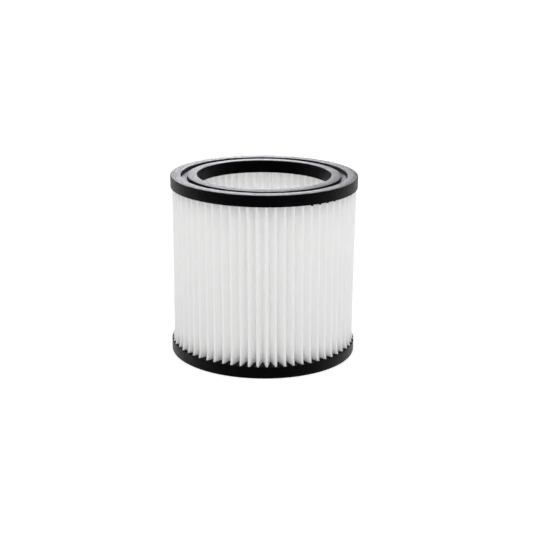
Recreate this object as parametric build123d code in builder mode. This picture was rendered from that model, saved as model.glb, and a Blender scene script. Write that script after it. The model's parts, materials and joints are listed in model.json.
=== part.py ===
from build123d import *
import os
from math import acos, asin, atan2, cos, degrees, radians, tan

# Cartridge filter of a small wet-and-dry vacuum: a pleated sheet closed into a cylinder, with its two ends
# cast into a grooved ring above and a closing disc below.
# Millimetres, +Z up, origin at the centre of the underside.

# Overall height, underside of the disc to the top of the ring
element_height = 136.0

# Ring section, from the opening outwards
opening_diameter = 100.0
lip_width = 7.5
groove_width = 4.8
rim_width = 7.7
groove_depth = 2.5

# Casting: how deep the pleats are set, what is left past their ends, and the round-off of moulded edges
potting_depth = 5.0
groove_floor = 1.1
disc_floor = 3.6
potting_margin = 1.0
edge_break = 0.6

# Filter sheet
pleat_count = 62
pleat_depth = 11.8
media_thickness = 0.8
tip_flattening = 0.5

# Radii and heights that follow from those sizes
opening_radius = opening_diameter / 2
groove_inner_radius = opening_radius + lip_width
groove_outer_radius = groove_inner_radius + groove_width
cap_radius = groove_outer_radius + rim_width
crest_radius = cap_radius - potting_margin
valley_radius = crest_radius - pleat_depth
top_cap_thickness = potting_depth + groove_floor + groove_depth
bottom_cap_thickness = potting_depth + disc_floor
top_cap_underside = element_height - top_cap_thickness
media_height = top_cap_underside + potting_depth - disc_floor

# Fold geometry: the sheet is creased sharp on the inner side of each fold, and its outer side is a round
# tip pressed a little flatter than one thickness. The walls run straight from crest to valley, leaning off
# the radial line, and the turn is what the sheet bends through from the tip's middle to its wall.
half_pitch = 180 / pleat_count
crest_crease = Vector(crest_radius - media_thickness, 0)
valley_crease = Vector(valley_radius + media_thickness, 0).rotate(Axis.Z, half_pitch)
wall_span = valley_crease - crest_crease
span_angle = degrees(atan2(wall_span.Y, -wall_span.X))
wall_lean = span_angle - degrees(asin(media_thickness / wall_span.length))
crest_turn = 90 - wall_lean
valley_turn = crest_turn - half_pitch
valley_facing = 180 + half_pitch

# Tips: the arc of each fold runs from its middle to where it meets the outer side of the wall
fold_radius = media_thickness + tip_flattening
crest_centre = Vector(crest_radius - fold_radius, 0)
valley_centre = Vector(valley_radius + fold_radius, 0).rotate(Axis.Z, half_pitch)


def half_tip_angle(turn):
    wall_distance = media_thickness + tip_flattening * cos(radians(turn))
    return turn - degrees(acos(wall_distance / fold_radius))


# One pleat of the sheet in plan, about the +X axis: half of it drawn, half mirrored
with BuildSketch() as pleat_section:
    with BuildLine():
        crest = CenterArc(crest_centre, fold_radius, 0, half_tip_angle(crest_turn))
        valley = CenterArc(valley_centre, fold_radius, valley_facing, half_tip_angle(valley_turn))
        Line(crest @ 1, valley_crease)
        Line(valley_crease, valley @ 0)
        Line(valley @ 1, crest_crease)
        Line(crest_crease, crest @ 0)
    make_face()
    mirror(about=Plane.XZ)

# The pocket that one pleat leaves in the casting: the same walls and creases, with square-ended folds
crest_corner = crest_crease + Vector(media_thickness, media_thickness * tan(radians(crest_turn / 2)))
valley_half_end = Vector(media_thickness, media_thickness * tan(radians(valley_turn / 2)))
valley_corner = valley_crease + valley_half_end.rotate(Axis.Z, valley_facing)
with BuildSketch() as pocket_section:
    with BuildLine():
        Polyline(
            crest @ 0,
            crest_corner,
            valley_crease,
            valley @ 0,
            valley_corner,
            crest_crease,
            close=True,
        )
    make_face()
    mirror(about=Plane.XZ)

# Pleated sheet, standing on the floor of the lower pockets
with BuildPart() as pleated_media:
    with BuildSketch(Plane.XY.offset(disc_floor)):
        with PolarLocations(0, pleat_count):
            add(pleat_section.sketch)
    extrude(amount=media_height)
pleated_media.part.label = "pleated_media"

# Upper ring: open in the middle, grooved on top, with its moulded edges eased and the pleats' pockets below
with BuildPart() as top_cap:
    with BuildSketch(Plane.XY.offset(top_cap_underside)):
        Circle(cap_radius)
        Circle(opening_radius, mode=Mode.SUBTRACT)
    extrude(amount=top_cap_thickness)
    with BuildSketch(Plane.XY.offset(element_height)):
        Circle(groove_outer_radius)
        Circle(groove_inner_radius, mode=Mode.SUBTRACT)
    extrude(amount=-groove_depth, mode=Mode.SUBTRACT)
    chamfer(top_cap.edges().filter_by(GeomType.CIRCLE).group_by(Axis.Z)[-1], length=edge_break)
    with BuildSketch(Plane.XY.offset(top_cap_underside)):
        with PolarLocations(0, pleat_count):
            add(pocket_section.sketch)
    extrude(amount=potting_depth, mode=Mode.SUBTRACT)
top_cap.part.label = "top_cap"

# Lower disc: closed, with its moulded edge eased and the pleats' pockets above
with BuildPart() as bottom_cap:
    with BuildSketch():
        Circle(cap_radius)
    extrude(amount=bottom_cap_thickness)
    chamfer(bottom_cap.edges().filter_by(GeomType.CIRCLE).group_by(Axis.Z)[0], length=edge_break)
    with BuildSketch(Plane.XY.offset(bottom_cap_thickness)):
        with PolarLocations(0, pleat_count):
            add(pocket_section.sketch)
    extrude(amount=-potting_depth, mode=Mode.SUBTRACT)
bottom_cap.part.label = "bottom_cap"

os.makedirs("parts", exist_ok=True)
export_step(top_cap.part, "parts/top_cap.step")
export_step(pleated_media.part, "parts/pleated_media.step")
export_step(bottom_cap.part, "parts/bottom_cap.step")
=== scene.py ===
import json
import math

import bmesh
import bpy
from bpy.props import FloatProperty, FloatVectorProperty, IntProperty, PointerProperty
from bpy.types import NodeSocket, Operator, Panel, PropertyGroup
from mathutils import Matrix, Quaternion, Vector


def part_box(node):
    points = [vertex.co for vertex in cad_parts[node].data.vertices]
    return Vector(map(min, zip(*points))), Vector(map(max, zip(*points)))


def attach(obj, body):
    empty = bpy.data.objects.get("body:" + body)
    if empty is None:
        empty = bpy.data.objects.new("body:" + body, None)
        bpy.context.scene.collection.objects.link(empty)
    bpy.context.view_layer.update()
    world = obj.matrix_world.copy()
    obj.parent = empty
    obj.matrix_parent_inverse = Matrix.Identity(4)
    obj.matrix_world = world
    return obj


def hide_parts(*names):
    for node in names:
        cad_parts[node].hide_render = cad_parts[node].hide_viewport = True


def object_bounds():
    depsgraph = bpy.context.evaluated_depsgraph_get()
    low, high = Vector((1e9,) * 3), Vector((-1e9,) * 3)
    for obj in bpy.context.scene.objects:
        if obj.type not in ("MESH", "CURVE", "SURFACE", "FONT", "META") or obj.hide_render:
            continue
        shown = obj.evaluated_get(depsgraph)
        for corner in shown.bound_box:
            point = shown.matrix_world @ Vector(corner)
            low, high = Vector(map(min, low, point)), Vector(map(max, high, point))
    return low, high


bl_info = {
    "name": "Pleated vacuum filter",
    "version": (1, 0, 0),
    "blender": (4, 5, 0),
    "location": "View3D > Sidebar > Filter",
    "description": "Dresses a cast and pleated cartridge filter and sets it on a pale studio floor",
    "category": "Add Mesh",
}

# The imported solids, and the sizes that are read from them, in metres
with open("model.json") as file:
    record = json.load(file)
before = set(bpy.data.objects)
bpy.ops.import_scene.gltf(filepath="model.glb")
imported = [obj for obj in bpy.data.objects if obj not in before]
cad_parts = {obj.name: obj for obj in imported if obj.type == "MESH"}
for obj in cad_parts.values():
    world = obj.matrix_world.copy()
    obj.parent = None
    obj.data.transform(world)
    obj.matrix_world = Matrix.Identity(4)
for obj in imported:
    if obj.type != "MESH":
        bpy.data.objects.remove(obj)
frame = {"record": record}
CAD_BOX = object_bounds()
RING_LOW, RING_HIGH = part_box("top_cap")
SHEET_LOW, SHEET_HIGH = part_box("pleated_media")
DISC_LOW, DISC_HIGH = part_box("bottom_cap")
MOUNTS = {mount["name"]: mount for mount in frame["record"]["mounts"]}
OPENING_RADIUS = MOUNTS["opening"]["dims"]["r_mm"] / 1000
BODY = "root"


class FilterSheetSettings(PropertyGroup):
    """Sizes and colour of the pleated filter sheet"""

    pleats: IntProperty(
        name="Pleats",
        description="Folds round the filter, one crest each",
        default=62,
        min=12,
    )
    crest_radius: FloatProperty(
        name="Crest Radius",
        description="From the axis to the outside of a crest",
        default=SHEET_HIGH.x,
        unit="LENGTH",
    )
    pleat_depth: FloatProperty(
        name="Pleat Depth",
        description="From the outside of a crest to the inside of a valley",
        default=0.0118,
        unit="LENGTH",
    )
    thickness: FloatProperty(
        name="Sheet Thickness",
        description="Thickness of the filter fabric",
        default=0.0007,
        unit="LENGTH",
    )
    crest_fold: FloatProperty(
        name="Crest Fold",
        description="Radius of an outer fold at the middle of the sheet",
        default=0.0005,
        unit="LENGTH",
    )
    valley_fold: FloatProperty(
        name="Valley Fold",
        description="Radius of an inner fold at the middle of the sheet",
        default=0.0006,
        unit="LENGTH",
    )
    crowding: FloatProperty(
        name="Crowding",
        description="How far the pleats are drawn together towards the front and the back",
        default=math.radians(1.5),
        subtype="ANGLE",
    )
    unevenness: FloatProperty(
        name="Unevenness",
        description="How far a single fold may stand out of line",
        default=math.radians(0.35),
        subtype="ANGLE",
    )
    twist: FloatProperty(
        name="Twist",
        description="Turn of the pleats from their foot to their head",
        default=math.radians(-1.3),
        subtype="ANGLE",
    )
    taper: FloatProperty(
        name="Taper",
        description="How much nearer to the axis the sheet stands at its foot than at its head",
        default=0.0006,
        unit="LENGTH",
    )
    waist: FloatProperty(
        name="Waist",
        description="How far the sheet draws in halfway between the two castings",
        default=0.0003,
        unit="LENGTH",
    )
    flare: FloatProperty(
        name="Flare",
        description="How far the pleats spread outwards where they enter the disc",
        default=0.001,
        unit="LENGTH",
    )
    wander: FloatProperty(
        name="Wander",
        description="How far the walls drift sideways between the two castings",
        default=0.00015,
        unit="LENGTH",
    )
    seed: IntProperty(
        name="Seed",
        description="Fixed seed of the sheet's irregularities",
        default=7,
    )
    colour: FloatVectorProperty(
        name="Fabric",
        description="Colour of the filter fabric",
        default=(0.988, 0.988, 0.985),
        subtype="COLOR",
        size=3,
    )


class FilterCastingSettings(PropertyGroup):
    """Sizes and colour of the two cast caps"""

    lip_width: FloatProperty(
        name="Lip Width",
        description="From the opening to the groove",
        default=0.0075,
        unit="LENGTH",
    )
    groove_width: FloatProperty(
        name="Groove Width",
        description="Width of the groove in the top face",
        default=0.0048,
        unit="LENGTH",
    )
    groove_depth: FloatProperty(
        name="Groove Depth",
        description="Depth of the groove in the top face",
        default=0.0025,
        unit="LENGTH",
    )
    moulded_edge: FloatProperty(
        name="Moulded Edge",
        description="Radius of the outer edges that the mould shapes",
        default=0.0006,
        unit="LENGTH",
    )
    groove_edge: FloatProperty(
        name="Groove Edge",
        description="Radius of the groove's corners and of its edge on the lip",
        default=0.00025,
        unit="LENGTH",
    )
    rim_edge: FloatProperty(
        name="Rim Edge",
        description="Radius of the groove's edge on the rim",
        default=0.0004,
        unit="LENGTH",
    )
    poured_edge: FloatProperty(
        name="Poured Edge",
        description="Radius of the edges at the open side of the mould",
        default=0.0003,
        unit="LENGTH",
    )
    groove_draft: FloatProperty(
        name="Groove Draft",
        description="How much the groove's outer wall leans in from its edge to its floor",
        default=0.0008,
        unit="LENGTH",
    )
    lip_rise: FloatProperty(
        name="Lip Rise",
        description="How much higher the lip is at the opening than at the groove",
        default=0.0003,
        unit="LENGTH",
    )
    rim_rise: FloatProperty(
        name="Rim Rise",
        description="How much higher the rim is at its outer edge than at the groove",
        default=0.0001,
        unit="LENGTH",
    )
    skirt: FloatProperty(
        name="Skirt",
        description="How far the ring reaches down inside the sheet below its outer edge",
        default=0.0012,
        unit="LENGTH",
    )
    top_bead: FloatProperty(
        name="Top Bead",
        description="How far the ring's casting creeps along the sheet",
        default=0.00045,
        unit="LENGTH",
    )
    bottom_bead: FloatProperty(
        name="Bottom Bead",
        description="How far the disc's casting creeps up the sheet",
        default=0.0003,
        unit="LENGTH",
    )
    nib: FloatProperty(
        name="Flash Nib",
        description="Radius of the largest drop of flash under the ring",
        default=0.0012,
        unit="LENGTH",
    )
    nub: FloatProperty(
        name="Rim Nub",
        description="Radius of the largest nub that rises between two pleats at the disc's rim",
        default=0.001,
        unit="LENGTH",
    )
    colour: FloatVectorProperty(
        name="Casting",
        description="Colour of the cast polyurethane",
        default=(0.002, 0.002, 0.0023),
        subtype="COLOR",
        size=3,
    )


class FilterStageSettings(PropertyGroup):
    """Camera, floor and lights"""

    camera_distance: FloatProperty(
        name="Camera Distance",
        description="From the lens to the middle of the filter",
        default=0.93,
        unit="LENGTH",
    )
    camera_elevation: FloatProperty(
        name="Camera Elevation",
        description="How far the camera looks down",
        default=math.radians(16.44),
        subtype="ANGLE",
    )
    camera_roll: FloatProperty(
        name="Camera Roll",
        description="Turn of the camera about its line of sight",
        default=math.radians(0.45),
        subtype="ANGLE",
    )
    lens: FloatProperty(
        name="Lens",
        description="Focal length in millimetres",
        default=82.45,
    )
    shift_x: FloatProperty(
        name="Shift X",
        description="Share of the frame by which the view is moved right",
        default=0.0056,
    )
    shift_y: FloatProperty(
        name="Shift Y",
        description="Share of the frame by which the view is moved up",
        default=-0.0098,
    )
    floor: FloatVectorProperty(
        name="Floor",
        description="Colour of the floor",
        default=(0.8, 0.8, 0.8),
        subtype="COLOR",
        size=3,
    )


# Node helpers


def add_node(tree, kind, inputs=None, **settings):
    """A new node, with each input set to a value or linked to a socket"""
    made = tree.nodes.new(kind)
    for name, value in settings.items():
        setattr(made, name, value)
    for name, value in (inputs or {}).items():
        if isinstance(value, NodeSocket):
            tree.links.new(value, made.inputs[name])
        else:
            made.inputs[name].default_value = value
    return made


def calc(tree, operation, *terms):
    """The result socket of one Math node"""
    return add_node(tree, "ShaderNodeMath", dict(enumerate(terms)), operation=operation).outputs[0]


def new_tree(name, inputs):
    """An empty geometry tree with named inputs, and its group input node"""
    tree = bpy.data.node_groups.new(name, "GeometryNodeTree")
    tree.is_modifier = True
    for label, kind in inputs.items():
        tree.interface.new_socket(label, in_out="INPUT", socket_type="NodeSocket" + kind)
    tree.interface.new_socket("Geometry", in_out="OUTPUT", socket_type="NodeSocketGeometry")
    return tree, tree.nodes.new("NodeGroupInput")


def close_tree(tree, geometry, material):
    """Ends a tree in real geometry with its material"""
    whole = add_node(tree, "GeometryNodeRealizeInstances", {"Geometry": geometry})
    dressed = add_node(
        tree, "GeometryNodeSetMaterial", {"Geometry": whole.outputs[0], "Material": material}
    )
    add_node(tree, "NodeGroupOutput", {"Geometry": dressed.outputs[0]})


def set_inputs(modifier, values):
    """Sets a tree's inputs on its modifier by their identifiers"""
    for item in modifier.node_group.interface.items_tree:
        if item.in_out == "INPUT":
            modifier[item.identifier] = values[item.name]


# Mesh helpers


def new_piece(name, mesh):
    """A new object at the origin for a finished or unfinished mesh"""
    piece = bpy.data.objects.new(name, mesh)
    bpy.context.scene.collection.objects.link(piece)
    return piece


def shade(mesh, smooth_angle):
    """Smooth shading that keeps edges over an angle sharp"""
    mesh.polygons.foreach_set("use_smooth", [True] * len(mesh.polygons))
    mesh.set_sharp_from_angle(angle=smooth_angle)


def make_plain(piece, smooth_angle):
    """Turns a piece's modifiers into a plain mesh, smooth up to an angle between faces"""
    graph = bpy.context.evaluated_depsgraph_get()
    old = piece.data
    mesh = bpy.data.meshes.new_from_object(piece.evaluated_get(graph), depsgraph=graph)
    if not mesh.polygons:
        raise RuntimeError(piece.name + " came out empty")
    finish = next(filter(None, mesh.materials))
    mesh.materials.clear()
    mesh.materials.append(finish)
    mesh.polygons.foreach_set("material_index", [0] * len(mesh.polygons))
    piece.data = mesh
    piece.modifiers.clear()
    bpy.data.meshes.remove(old)
    shade(mesh, smooth_angle)


def rounded(corners, steps=6):
    """The points of a section whose corners are (radius, height, rounding)"""
    points = []
    count = len(corners)
    for i, (r, z, rounding) in enumerate(corners):
        here = Vector((r, z))
        if rounding == 0:
            points.append(here)
            continue
        before = (Vector(corners[i - 1][:2]) - here).normalized()
        after = (Vector(corners[(i + 1) % count][:2]) - here).normalized()
        half = before.angle(after) / 2
        centre = here + (before + after).normalized() * rounding / math.sin(half)
        start = here + before * rounding / math.tan(half) - centre
        end = here + after * rounding / math.tan(half) - centre
        turn = start.angle_signed(end)
        for step in range(steps + 1):
            share = turn * step / steps
            across = Vector((-start.y, start.x))
            points.append(centre + start * math.cos(share) - across * math.sin(share))
    return points


def lathe(name, section, steps=240):
    """A closed mesh of a section turned about the axis; points on the axis become one vertex"""
    turned = bmesh.new()
    rings = []
    for point in section:
        if point.x == 0:
            rings.append([turned.verts.new((0, 0, point.y))] * steps)
            continue
        rings.append([
            turned.verts.new((
                point.x * math.cos(math.tau * step / steps),
                point.x * math.sin(math.tau * step / steps),
                point.y,
            ))
            for step in range(steps)
        ])
    for inner, outer in zip(rings, rings[1:] + rings[:1]):
        for step in range(steps):
            after = (step + 1) % steps
            corners = [inner[step], outer[step], outer[after], inner[after]]
            corners = list(dict.fromkeys(corners))
            if len(corners) > 2:
                turned.faces.new(corners)
    bmesh.ops.recalc_face_normals(turned, faces=turned.faces)
    mesh = bpy.data.meshes.new(name)
    turned.to_mesh(mesh)
    turned.free()
    return mesh


# Finishes


def new_finish(name):
    """A material with its shader, and the object coordinates its patterns read"""
    finish = bpy.data.materials.get(name) or bpy.data.materials.new(name)
    finish.use_nodes = True
    tree = finish.node_tree
    tree.nodes.clear()
    shader = add_node(tree, "ShaderNodeBsdfPrincipled")
    add_node(tree, "ShaderNodeOutputMaterial", {"Surface": shader.outputs[0]})
    place = add_node(tree, "ShaderNodeTexCoord").outputs["Object"]
    return finish, tree, shader, place


def grain(tree, place, scale, detail=2.0, roughness=0.5):
    """A noise pattern with so many cells to the metre"""
    return add_node(
        tree,
        "ShaderNodeTexNoise",
        {"Vector": place, "Scale": scale, "Detail": detail, "Roughness": roughness},
    ).outputs[0]


def spread(tree, pattern, low, high):
    """A pattern's middle range mapped to lie between two values"""
    return add_node(
        tree,
        "ShaderNodeMapRange",
        {"Value": pattern, "From Min": 0.3, "From Max": 0.7, "To Min": low, "To Max": high},
    ).outputs[0]


def shades(tree, pattern, colour, low, high):
    """A colour made darker and lighter by a pattern"""
    level = spread(tree, pattern, low, high)
    return add_node(
        tree, "ShaderNodeVectorMath", {0: (*colour,), 1: level}, operation="MULTIPLY"
    ).outputs[0]


def bumped(tree, pattern, depth, below=None):
    """A surface normal that follows a pattern to a depth in metres"""
    inputs = {"Height": pattern, "Distance": depth, "Strength": 1.0}
    if below is not None:
        inputs["Normal"] = below
    return add_node(tree, "ShaderNodeBump", inputs).outputs[0]


def cast_polyurethane(settings):
    """Black satin casting with the fine grain of its mould"""
    finish, tree, shader, place = new_finish("cast_polyurethane")
    fine = grain(tree, place, scale=450, detail=3.0, roughness=0.6)
    broad = grain(tree, place, scale=90)
    black = shades(tree, broad, settings.colour, low=0.8, high=1.25)
    tree.links.new(black, shader.inputs["Base Color"])
    tree.links.new(spread(tree, fine, low=0.36, high=0.5), shader.inputs["Roughness"])
    soft = bumped(tree, broad, depth=0.00012)
    tree.links.new(bumped(tree, fine, depth=0.0003, below=soft), shader.inputs["Normal"])
    shader.inputs["IOR"].default_value = 1.25
    shader.inputs["Specular Tint"].default_value = (0.04, 0.04, 0.045, 1.0)
    return finish


def filter_fabric(settings):
    """White non-woven fabric: cloudy where its fibres lie thinner, faintly fibrous close up"""
    finish, tree, shader, place = new_finish("filter_fabric")
    cloud = grain(tree, place, scale=160, detail=3.0)
    fibre = grain(tree, place, scale=1500, detail=4.0, roughness=0.65)
    white = shades(tree, cloud, settings.colour, low=0.995, high=1.005)
    tree.links.new(white, shader.inputs["Base Color"])
    tree.links.new(spread(tree, cloud, low=0.82, high=0.92), shader.inputs["Roughness"])
    tree.links.new(bumped(tree, fibre, depth=0.00006), shader.inputs["Normal"])
    shader.inputs["Subsurface Weight"].default_value = 1.0
    shader.inputs["Subsurface Radius"].default_value = (1.0, 1.0, 1.0)
    shader.inputs["Subsurface Scale"].default_value = 0.001
    shader.inputs["Specular IOR Level"].default_value = 0.2
    return finish


# The folded line that the sheet and the casting beads follow

FOLD_INPUTS = {
    "Pleats": "Int",
    "Crest Apex": "Float",
    "Valley Apex": "Float",
    "Crest Fold": "Float",
    "Valley Fold": "Float",
    "Line Height": "Float",
    "Sheet Foot": "Float",
    "Sheet Height": "Float",
    "Crowding": "Float",
    "Unevenness": "Float",
    "Twist": "Float",
    "Taper": "Float",
    "Waist": "Float",
    "Flare": "Float",
    "Flare Foot": "Float",
    "Flare Reach": "Float",
    "Wander": "Float",
    "Seed": "Int",
    "Material": "Material",
}
FOLD_POINTS = 7
FLARE_REACH = 0.006
WANDER_CELLS = (115.0, 115.0, 5.0)
BEAD_HOLLOW = 0.62


def fold_values(sheet, line_height, material):
    """What the fold inputs are set to for this sheet, with the folds' corners worked out from its radii"""
    crest = sheet.crest_radius - sheet.thickness / 2
    valley = sheet.crest_radius - sheet.pleat_depth + sheet.thickness / 2
    crest_centre = Vector((crest - sheet.crest_fold, 0))
    half_pitch = math.pi / sheet.pleats
    valley_reach = valley + sheet.valley_fold
    valley_centre = Vector((valley_reach * math.cos(half_pitch), valley_reach * math.sin(half_pitch)))
    span = crest_centre - valley_centre
    folds = sheet.crest_fold + sheet.valley_fold
    lean = math.atan2(-span.y, span.x) - math.asin(folds / span.length)
    return {
        "Pleats": sheet.pleats,
        "Crest Apex": crest_centre.x + sheet.crest_fold / math.sin(lean),
        "Valley Apex": valley_reach - sheet.valley_fold / math.sin(lean + half_pitch),
        "Crest Fold": sheet.crest_fold,
        "Valley Fold": sheet.valley_fold,
        "Line Height": line_height,
        "Sheet Foot": SHEET_LOW.z,
        "Sheet Height": SHEET_HIGH.z - SHEET_LOW.z,
        "Crowding": sheet.crowding,
        "Unevenness": sheet.unevenness,
        "Twist": sheet.twist,
        "Taper": sheet.taper / sheet.crest_radius,
        "Waist": sheet.waist / sheet.crest_radius,
        "Flare": sheet.flare / sheet.crest_radius,
        "Flare Foot": DISC_HIGH.z,
        "Flare Reach": FLARE_REACH,
        "Wander": sheet.wander / sheet.crest_radius,
        "Seed": sheet.seed,
        "Material": material,
    }


def add_fold_angle(tree, sizes, fold):
    """Where a numbered fold stands round the axis, crowded towards the front and the back"""
    even = calc(tree, "DIVIDE", calc(tree, "MULTIPLY", fold, math.pi), sizes["Pleats"])
    drawn = calc(tree, "SINE", calc(tree, "MULTIPLY", even, 2))
    return calc(tree, "MULTIPLY_ADD", drawn, sizes["Crowding"], even)


def add_ring_place(tree, radius, angle, height):
    """The position at a radius, an angle and a height"""
    across = calc(tree, "MULTIPLY", radius, calc(tree, "COSINE", angle))
    along = calc(tree, "MULTIPLY", radius, calc(tree, "SINE", angle))
    return add_node(tree, "ShaderNodeCombineXYZ", {"X": across, "Y": along, "Z": height}).outputs[0]


def add_fold_line(tree, sizes):
    """A closed zigzag round the axis with rounded folds, crest first on +X"""
    folds = calc(tree, "MULTIPLY", sizes["Pleats"], 2)
    row = add_node(tree, "GeometryNodeMeshLine", {"Count": folds})
    line = add_node(tree, "GeometryNodeMeshToCurve", {"Mesh": row.outputs[0]})
    index = add_node(tree, "GeometryNodeInputIndex").outputs[0]
    crowded = add_fold_angle(tree, sizes, index)
    chance = add_node(tree, "FunctionNodeRandomValue", {2: -1.0, 3: 1.0, 8: sizes["Seed"]})
    angle = calc(tree, "MULTIPLY_ADD", chance.outputs[1], sizes["Unevenness"], crowded)
    is_valley = calc(tree, "MODULO", index, 2)
    inward = calc(tree, "SUBTRACT", sizes["Valley Apex"], sizes["Crest Apex"])
    radius = calc(tree, "MULTIPLY_ADD", is_valley, inward, sizes["Crest Apex"])
    corner = add_ring_place(tree, radius, angle, sizes["Line Height"])
    zigzag = add_node(
        tree, "GeometryNodeSetPosition", {"Geometry": line.outputs[0], "Position": corner}
    )
    closed = add_node(tree, "GeometryNodeSetSplineCyclic", {0: zigzag.outputs[0], "Cyclic": True})
    upright = add_node(tree, "GeometryNodeSetCurveNormal", {0: closed.outputs[0]}, mode="Z_UP")
    sharper = calc(tree, "SUBTRACT", sizes["Valley Fold"], sizes["Crest Fold"])
    folded = add_node(
        tree,
        "GeometryNodeFilletCurve",
        {
            0: upright.outputs[0],
            "Count": FOLD_POINTS,
            "Radius": calc(tree, "MULTIPLY_ADD", is_valley, sharper, sizes["Crest Fold"]),
        },
        mode="POLY",
    )
    return folded.outputs[0]


def add_settling(tree, sizes, geometry):
    """Turns the folded shape with its height, and lets it drift between the castings"""
    place = add_node(tree, "GeometryNodeInputPosition").outputs[0]
    height = add_node(tree, "ShaderNodeSeparateXYZ", {0: place}).outputs[2]
    share = calc(
        tree, "DIVIDE", calc(tree, "SUBTRACT", height, sizes["Sheet Foot"]), sizes["Sheet Height"]
    )
    left = calc(tree, "SUBTRACT", 1.0, share)
    free = calc(tree, "MULTIPLY", calc(tree, "MULTIPLY", share, left), 4.0)
    cells = add_node(
        tree, "ShaderNodeVectorMath", {0: place, 1: WANDER_CELLS}, operation="MULTIPLY"
    ).outputs[0]
    drift = add_node(
        tree,
        "ShaderNodeTexNoise",
        {"Vector": cells, "W": sizes["Seed"], "Scale": 1.0, "Detail": 0.0},
        noise_dimensions="4D",
    ).outputs[0]
    sideways = calc(tree, "MULTIPLY", calc(tree, "SUBTRACT", drift, 0.5), 2.0)
    wandered = calc(tree, "MULTIPLY", calc(tree, "MULTIPLY", sideways, sizes["Wander"]), free)
    turn = calc(tree, "MULTIPLY_ADD", share, sizes["Twist"], wandered)
    tapered = calc(tree, "MULTIPLY_ADD", left, calc(tree, "MULTIPLY", sizes["Taper"], -1.0), 1.0)
    slim = calc(tree, "MULTIPLY_ADD", free, calc(tree, "MULTIPLY", sizes["Waist"], -1.0), tapered)
    near = add_node(
        tree,
        "ShaderNodeMapRange",
        {
            "Value": calc(tree, "SUBTRACT", height, sizes["Flare Foot"]),
            "From Min": 0.0,
            "From Max": sizes["Flare Reach"],
            "To Min": 1.0,
            "To Max": 0.0,
        },
    ).outputs[0]
    flared = calc(tree, "MULTIPLY_ADD", calc(tree, "POWER", near, 2.0), sizes["Flare"], slim)
    reach = add_node(tree, "ShaderNodeCombineXYZ", {"X": flared, "Y": flared, "Z": 1.0}).outputs[0]
    drawn = add_node(tree, "ShaderNodeVectorMath", {0: place, 1: reach}, operation="MULTIPLY")
    turned = add_node(
        tree,
        "ShaderNodeVectorRotate",
        {"Vector": drawn.outputs[0], "Angle": turn},
        rotation_type="Z_AXIS",
    )
    settled = add_node(
        tree, "GeometryNodeSetPosition", {"Geometry": geometry, "Position": turned.outputs[0]}
    )
    return settled.outputs[0]


def sheet_tree():
    """The sheet as a surface: an upright line, its points closer towards the ends, run along the folds"""
    tree, group = new_tree("pleated_sheet", FOLD_INPUTS | {"Rows": "Int"})
    sizes = group.outputs
    row = add_node(tree, "GeometryNodeMeshLine", {"Count": sizes["Rows"]})
    line = add_node(tree, "GeometryNodeMeshToCurve", {"Mesh": row.outputs[0]})
    index = add_node(tree, "GeometryNodeInputIndex").outputs[0]
    step = calc(tree, "DIVIDE", math.pi, calc(tree, "SUBTRACT", sizes["Rows"], 1))
    closer = calc(tree, "COSINE", calc(tree, "MULTIPLY", index, step))
    rise = calc(tree, "MULTIPLY", closer, calc(tree, "DIVIDE", sizes["Sheet Height"], -2.0))
    spot = add_node(tree, "ShaderNodeCombineXYZ", {"Y": rise}).outputs[0]
    rows = add_node(
        tree, "GeometryNodeSetPosition", {"Geometry": line.outputs[0], "Position": spot}
    )
    surface = add_node(
        tree,
        "GeometryNodeCurveToMesh",
        {"Curve": add_fold_line(tree, sizes), "Profile Curve": rows.outputs[0]},
    )
    close_tree(tree, add_settling(tree, sizes, surface.outputs[0]), sizes["Material"])
    return tree


def bead_tree():
    """The casting's creep along the sheet: a small hollow-sided bead that follows the folds"""
    tree, group = new_tree("casting_bead", FOLD_INPUTS | {"Bead": "Float"})
    sizes = group.outputs
    section = add_node(
        tree,
        "GeometryNodeCurveStar",
        {
            "Points": 4,
            "Inner Radius": calc(tree, "MULTIPLY", sizes["Bead"], BEAD_HOLLOW),
            "Outer Radius": sizes["Bead"],
        },
    )
    bead = add_node(
        tree,
        "GeometryNodeCurveToMesh",
        {"Curve": add_fold_line(tree, sizes), "Profile Curve": section.outputs[0]},
    )
    close_tree(tree, add_settling(tree, sizes, bead.outputs[0]), sizes["Material"])
    return tree


NIB_INPUTS = {
    "Nibs": "Int",
    "First Fold": "Int",
    "Pleats": "Int",
    "Crowding": "Float",
    "Turn": "Float",
    "Reach": "Float",
    "Height": "Float",
    "Size": "Float",
    "Seed": "Int",
    "Material": "Material",
}
SMALLEST_DROP = 0.7


def nib_tree():
    """Drops of casting at every second fold, on the crests or between them, each of its own size"""
    tree, group = new_tree("casting_nibs", NIB_INPUTS)
    sizes = group.outputs
    row = add_node(tree, "GeometryNodeMeshLine", {"Count": sizes["Nibs"]})
    index = add_node(tree, "GeometryNodeInputIndex").outputs[0]
    fold = calc(tree, "MULTIPLY_ADD", index, 2, sizes["First Fold"])
    angle = add_fold_angle(tree, sizes, fold)
    spot = add_ring_place(
        tree, sizes["Reach"], calc(tree, "ADD", angle, sizes["Turn"]), sizes["Height"]
    )
    arc = add_node(tree, "GeometryNodeSetPosition", {"Geometry": row.outputs[0], "Position": spot})
    drop = add_node(tree, "GeometryNodeMeshIcoSphere", {"Radius": sizes["Size"], "Subdivisions": 3})
    chance = add_node(tree, "FunctionNodeRandomValue", {2: SMALLEST_DROP, 3: 1.0, 8: sizes["Seed"]})
    drops = add_node(
        tree,
        "GeometryNodeInstanceOnPoints",
        {"Points": arc.outputs[0], "Instance": drop.outputs[0], "Scale": chance.outputs[1]},
    )
    close_tree(tree, drops.outputs[0], sizes["Material"])
    return tree


# Folds are numbered from the crest on +X, so crests have even numbers and valleys odd ones
FLASH_NIBS = 4
FLASH_CREST = 104
FIRST_VALLEY = 1
SHEET_ROWS = 25
SMOOTH = math.radians(40)


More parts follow.
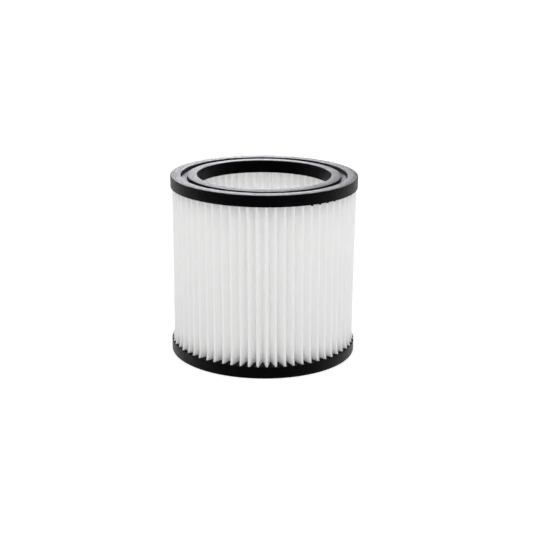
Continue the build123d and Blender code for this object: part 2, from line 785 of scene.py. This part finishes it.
class FILTER_OT_pleated_sheet(Operator):
    """Fold the filter sheet and close it into a cylinder"""

    bl_idname = "pleated_filter.sheet"
    bl_label = "Pleated Sheet"

    def execute(self, context):
        sheet = context.scene.filter_sheet
        piece = new_piece("filter_sheet", bpy.data.meshes.new("filter_sheet"))
        folds = piece.modifiers.new("Folds", "NODES")
        folds.node_group = sheet_tree()
        middle = (SHEET_LOW.z + SHEET_HIGH.z) / 2
        values = fold_values(sheet, middle, filter_fabric(sheet))
        set_inputs(folds, values | {"Rows": SHEET_ROWS})
        body = piece.modifiers.new("Fabric", "SOLIDIFY")
        body.thickness = sheet.thickness
        body.offset = 0
        body.use_even_offset = True
        make_plain(piece, SMOOTH)
        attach(piece, BODY)
        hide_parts("pleated_media")
        return {"FINISHED"}


class FILTER_OT_top_ring(Operator):
    """Turn the cast ring with its opening, groove and rounded edges"""

    bl_idname = "pleated_filter.top_ring"
    bl_label = "Top Ring"

    def execute(self, context):
        casting = context.scene.filter_casting
        moulded = casting.moulded_edge
        groove = casting.groove_edge
        poured = casting.poured_edge
        outer = RING_HIGH.x
        top = RING_HIGH.z
        groove_inner = OPENING_RADIUS + casting.lip_width
        groove_outer = groove_inner + casting.groove_width
        floor = top - casting.groove_depth
        section = rounded([
            (OPENING_RADIUS, RING_LOW.z - casting.skirt, poured),
            (groove_inner, RING_LOW.z, poured),
            (outer, RING_LOW.z, poured),
            (outer, top, moulded),
            (groove_outer, top - casting.rim_rise, casting.rim_edge),
            (groove_outer - casting.groove_draft, floor, groove),
            (groove_inner, floor, groove),
            (groove_inner, top - casting.lip_rise, groove),
            (OPENING_RADIUS, top, moulded),
        ])
        piece = new_piece("top_ring", lathe("top_ring", section))
        piece.data.materials.append(cast_polyurethane(casting))
        shade(piece.data, SMOOTH)
        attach(piece, BODY)
        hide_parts("top_cap")
        return {"FINISHED"}


class FILTER_OT_bottom_disc(Operator):
    """Turn the cast disc that closes the lower end"""

    bl_idname = "pleated_filter.bottom_disc"
    bl_label = "Bottom Disc"

    def execute(self, context):
        casting = context.scene.filter_casting
        outer = DISC_HIGH.x
        section = rounded([
            (0, DISC_LOW.z, 0),
            (outer, DISC_LOW.z, casting.moulded_edge),
            (outer, DISC_HIGH.z, casting.poured_edge),
            (0, DISC_HIGH.z, 0),
        ])
        piece = new_piece("bottom_disc", lathe("bottom_disc", section))
        piece.data.materials.append(cast_polyurethane(casting))
        shade(piece.data, SMOOTH)
        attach(piece, BODY)
        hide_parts("bottom_cap")
        return {"FINISHED"}


class FILTER_OT_casting_beads(Operator):
    """Run the beads of casting that creep along the sheet at both ends"""

    bl_idname = "pleated_filter.casting_beads"
    bl_label = "Casting Beads"

    def execute(self, context):
        sheet = context.scene.filter_sheet
        casting = context.scene.filter_casting
        finish = cast_polyurethane(casting)
        beads = (
            ("top_bead", RING_LOW.z, casting.top_bead),
            ("bottom_bead", DISC_HIGH.z, casting.bottom_bead),
        )
        for name, height, bead in beads:
            piece = new_piece(name, bpy.data.meshes.new(name))
            creep = piece.modifiers.new("Creep", "NODES")
            creep.node_group = bead_tree()
            set_inputs(creep, fold_values(sheet, height, finish) | {"Bead": bead})
            make_plain(piece, SMOOTH)
            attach(piece, BODY)
        return {"FINISHED"}


class FILTER_OT_casting_nibs(Operator):
    """Leave drops of casting between the pleats at the disc's rim, and on some crests under the ring"""

    bl_idname = "pleated_filter.casting_nibs"
    bl_label = "Casting Nibs"

    def execute(self, context):
        sheet = context.scene.filter_sheet
        casting = context.scene.filter_casting
        finish = cast_polyurethane(casting)
        rows = (
            ("flash_nibs", RING_LOW.z, RING_HIGH.x, casting.nib, FLASH_CREST, FLASH_NIBS),
            ("rim_nubs", DISC_HIGH.z, DISC_HIGH.x, casting.nub, FIRST_VALLEY, sheet.pleats),
        )
        for name, height, edge, size, first, count in rows:
            piece = new_piece(name, bpy.data.meshes.new(name))
            drops = piece.modifiers.new("Drops", "NODES")
            drops.node_group = nib_tree()
            share = (height - SHEET_LOW.z) / (SHEET_HIGH.z - SHEET_LOW.z)
            set_inputs(drops, {
                "Nibs": count,
                "First Fold": first,
                "Pleats": sheet.pleats,
                "Crowding": sheet.crowding,
                "Turn": sheet.twist * share,
                "Reach": edge - size,
                "Height": height,
                "Size": size,
                "Seed": sheet.seed,
                "Material": finish,
            })
            make_plain(piece, SMOOTH)
            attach(piece, BODY)
        return {"FINISHED"}


# Stage: sizes in metres, powers in watts, and the pieces that each lamp lights
SHEET = ("filter_sheet",)
CASTINGS = ("top_ring", "bottom_disc", "top_bead", "bottom_bead", "flash_nibs", "rim_nubs")
FLOOR_REACH = 12.0
FLOOR_DROP = 0.0001
LIGHT_BOUNCES = 16
WORLD_STRENGTH = 0.46
FLOOR_GLOW = 0.75
SOFTBOXES = {
    "back_strip": {
        "place": (-0.05, 1.8, 0.55),
        "width": 0.45,
        "height": 0.5,
        "power": 7.7,
        "colour": (0.955, 0.945, 1.0),
        "lit": CASTINGS,
    },
    "top_softbox": {
        "place": (0.0, 0.25, 1.3),
        "width": 0.6,
        "height": 0.6,
        "power": 130.0,
        "colour": (1.0, 1.0, 1.0),
        "lit": CASTINGS,
    },
    "right_softbox": {
        "place": (1.6, -0.6, 0.6),
        "width": 0.9,
        "height": 0.9,
        "power": 1.0,
        "colour": (1.0, 1.0, 1.0),
        "lit": SHEET + CASTINGS,
    },
}
FILL = {"place": (0.0, 0.0, 0.1), "radius": 0.03, "power": 0.058, "lit": SHEET}


class FILTER_OT_stage(Operator):
    """Set the floor, the soft lights and the camera"""

    bl_idname = "pleated_filter.stage"
    bl_label = "Stage"

    def execute(self, context):
        stage = context.scene.filter_stage
        middle = Vector((0, 0, (CAD_BOX[0].z + CAD_BOX[1].z) / 2))
        self.lay_floor(stage)
        self.hang_lights(context, middle)
        self.place_camera(context, stage, middle)
        context.scene.view_settings.view_transform = "Standard"
        context.scene.cycles.diffuse_bounces = LIGHT_BOUNCES
        context.scene.cycles.max_bounces = LIGHT_BOUNCES
        return {"FINISHED"}

    def lay_floor(self, stage):
        """A plain pale floor just clear of the filter's underside, and clear as glass from below"""
        signs = ((-1, -1), (1, -1), (1, 1), (-1, 1))
        corners = [(FLOOR_REACH * x, FLOOR_REACH * y, -FLOOR_DROP) for x, y in signs]
        mesh = bpy.data.meshes.new("floor")
        mesh.from_pydata(corners, [], [(0, 1, 2, 3)])
        finish, tree, shader, place = new_finish("floor")
        pattern = grain(tree, place, scale=3)
        pale = shades(tree, pattern, stage.floor, low=0.995, high=1.0)
        tree.links.new(pale, shader.inputs["Base Color"])
        shader.inputs["Roughness"].default_value = 0.9
        shader.inputs["Specular IOR Level"].default_value = 0.1
        shader.inputs["Emission Color"].default_value = (1.0, 1.0, 1.0, 1.0)
        shader.inputs["Emission Strength"].default_value = FLOOR_GLOW
        below = add_node(tree, "ShaderNodeNewGeometry").outputs["Backfacing"]
        clear = add_node(tree, "ShaderNodeBsdfTransparent").outputs[0]
        sides = add_node(tree, "ShaderNodeMixShader", {0: below, 1: shader.outputs[0], 2: clear})
        tree.links.new(sides.outputs[0], tree.nodes["Material Output"].inputs["Surface"])
        mesh.materials.append(finish)
        new_piece("floor", mesh)

    def hang_lights(self, context, middle):
        """A pale surround and soft area lights turned to the filter"""
        world = bpy.data.worlds.new("studio")
        world.use_nodes = True
        world.node_tree.nodes["Background"].inputs["Color"].default_value = (1, 1, 1, 1)
        world.node_tree.nodes["Background"].inputs["Strength"].default_value = WORLD_STRENGTH
        context.scene.world = world
        for name, box in SOFTBOXES.items():
            light = bpy.data.lights.new(name, "AREA")
            light.shape = "RECTANGLE"
            light.size = box["width"]
            light.size_y = box["height"]
            light.energy = box["power"]
            light.color = box["colour"]
            self.hang_lamp(context, light, box, middle)
        light = bpy.data.lights.new("inner_fill", "POINT")
        light.energy = FILL["power"]
        light.shadow_soft_size = FILL["radius"]
        self.hang_lamp(context, light, FILL, middle)

    def hang_lamp(self, context, light, values, aim):
        """Puts a lamp in its place, turned to the filter, and lets it light its own pieces only"""
        place = Vector(values["place"])
        lamp = bpy.data.objects.new(light.name, light)
        lamp.location = place
        lamp.rotation_euler = (aim - place).to_track_quat("-Z", "Y").to_euler()
        lamp.visible_camera = False
        context.scene.collection.objects.link(lamp)
        lit = bpy.data.collections.new("lit_by_" + light.name)
        for name in values["lit"]:
            lit.objects.link(bpy.data.objects[name])
        lamp.light_linking.receiver_collection = lit

    def place_camera(self, context, stage, middle):
        """The camera in front of the filter, looking down a little"""
        back = Vector((0, -math.cos(stage.camera_elevation), math.sin(stage.camera_elevation)))
        lens = bpy.data.cameras.new("camera")
        lens.lens = stage.lens
        lens.shift_x = stage.shift_x
        lens.shift_y = stage.shift_y
        camera = bpy.data.objects.new("camera", lens)
        camera.location = middle + back * stage.camera_distance
        aim = (-back).to_track_quat("-Z", "Y")
        camera.rotation_euler = (aim @ Quaternion((0, 0, 1), stage.camera_roll)).to_euler()
        context.scene.collection.objects.link(camera)
        context.scene.camera = camera


class FILTER_PT_panel(Panel):
    """Sizes, colours and pieces of the filter"""

    bl_idname = "FILTER_PT_panel"
    bl_label = "Pleated Filter"
    bl_space_type = "VIEW_3D"
    bl_region_type = "UI"
    bl_category = "Filter"

    def draw(self, context):
        groups = (context.scene.filter_sheet, context.scene.filter_casting, context.scene.filter_stage)
        for group in groups:
            box = self.layout.box()
            for name in group.__annotations__:
                box.prop(group, name)
        for operator in OPERATORS:
            self.layout.operator(operator.bl_idname)


OPERATORS = (
    FILTER_OT_pleated_sheet,
    FILTER_OT_top_ring,
    FILTER_OT_bottom_disc,
    FILTER_OT_casting_beads,
    FILTER_OT_casting_nibs,
    FILTER_OT_stage,
)
SETTINGS = {
    "filter_sheet": FilterSheetSettings,
    "filter_casting": FilterCastingSettings,
    "filter_stage": FilterStageSettings,
}


def register():
    for settings in SETTINGS.values():
        bpy.utils.register_class(settings)
    for name, settings in SETTINGS.items():
        setattr(bpy.types.Scene, name, PointerProperty(type=settings))
    for operator in OPERATORS:
        bpy.utils.register_class(operator)
    bpy.utils.register_class(FILTER_PT_panel)


def unregister():
    bpy.utils.unregister_class(FILTER_PT_panel)
    for operator in reversed(OPERATORS):
        bpy.utils.unregister_class(operator)
    for name, settings in SETTINGS.items():
        delattr(bpy.types.Scene, name)
        bpy.utils.unregister_class(settings)


def main():
    register()
    bpy.ops.pleated_filter.sheet()
    bpy.ops.pleated_filter.top_ring()
    bpy.ops.pleated_filter.bottom_disc()
    bpy.ops.pleated_filter.casting_beads()
    bpy.ops.pleated_filter.casting_nibs()
    bpy.ops.pleated_filter.stage()


if __name__ == "__main__":
    main()
